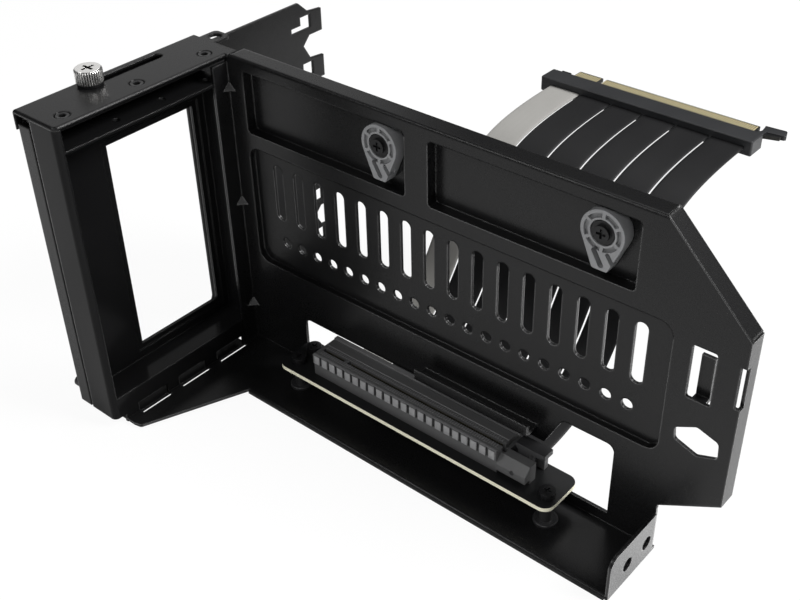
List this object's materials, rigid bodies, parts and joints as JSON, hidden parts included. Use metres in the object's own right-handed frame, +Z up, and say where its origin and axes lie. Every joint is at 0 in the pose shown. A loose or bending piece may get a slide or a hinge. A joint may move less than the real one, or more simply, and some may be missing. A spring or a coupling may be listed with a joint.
{
  "type": "vertical graphics card mount",
  "caption": "Folded black steel bracket that holds a graphics card upright in a computer case, with a sliding carriage, a riser board and socket, and a flat cable with an edge plug.",
  "frame": {"origin": "on the outer face of the case plate, 28 mm behind the panel's front face and 63 mm below the cap's top", "axes": "+X out of the case wall along the graphics card, +Y towards the motherboard, +Z up"},
  "size_m": [0.2383, 0.229, 0.1344],
  "materials": {
    "powder_coat": "satin fine-texture powder coat",
    "black_screw": "black oxide",
    "nickel": "nickel plate",
    "grey_plastic": "moulded grey",
    "board": "black solder mask, cream edge",
    "standoff": "dark plated",
    "socket_plastic": "moulded dark grey",
    "latch_plastic": "moulded black",
    "gold": "gold plate",
    "plug_plastic": "moulded black",
    "grey_cable": "satin jacket",
    "black_cable": "satin jacket"
  },
  "bodies": {
    "case": {"case_bracket": "powder_coat", "locating_pin": "nickel"},
    "carriage": {"main_bracket": "powder_coat", "slot_frame": "powder_coat", "top_cap": "powder_coat", "cap_screws": "black_screw", "cam_screws": "black_screw", "riser_board": "board", "board_standoffs": "standoff", "board_screws": "black_screw", "socket_body": "socket_plastic", "socket_contacts": "gold", "ribbon_1": "grey_cable", "ribbon_2": "black_cable", "ribbon_3": "black_cable", "ribbon_4": "black_cable", "ribbon_5": "black_cable", "ribbon_6": "black_cable", "plug_housing": "plug_plastic", "plug_board": "board", "plug_contacts": "gold", "end_nuts": "standoff"},
    "thumb": {"thumbscrew": "nickel", "thumbscrew_washer": "nickel"},
    "left_cam": {"cam_left": "grey_plastic"},
    "right_cam": {"cam_right": "grey_plastic"},
    "latch": {"socket_latch": "latch_plastic"}
  },
  "joints": [
    {"name": "carriage_slide", "type": "slide", "parent": "case", "child": "carriage", "axis": [0, -1, 0], "range_m": [0, 0.029]},
    {"name": "thumb_turn", "type": "hinge", "parent": "case", "child": "thumb", "pos_m": [0.0038, -0.0742, 0.063], "axis": [0, 0, 1], "continuous": true},
    {"name": "left_cam_turn", "type": "hinge", "parent": "carriage", "child": "left_cam", "pos_m": [0.0953, -0.028, 0.0501], "axis": [0, 1, 0], "range_deg": [0, 90]},
    {"name": "right_cam_turn", "type": "hinge", "parent": "carriage", "child": "right_cam", "pos_m": [0.1823, -0.028, 0.0501], "axis": [0, 1, 0], "range_deg": [0, 90]},
    {"name": "latch_turn", "type": "hinge", "parent": "carriage", "child": "latch", "pos_m": [0.1636, -0.03335, -0.0476], "axis": [0, 1, 0], "range_deg": [0, 22]}
  ]
}
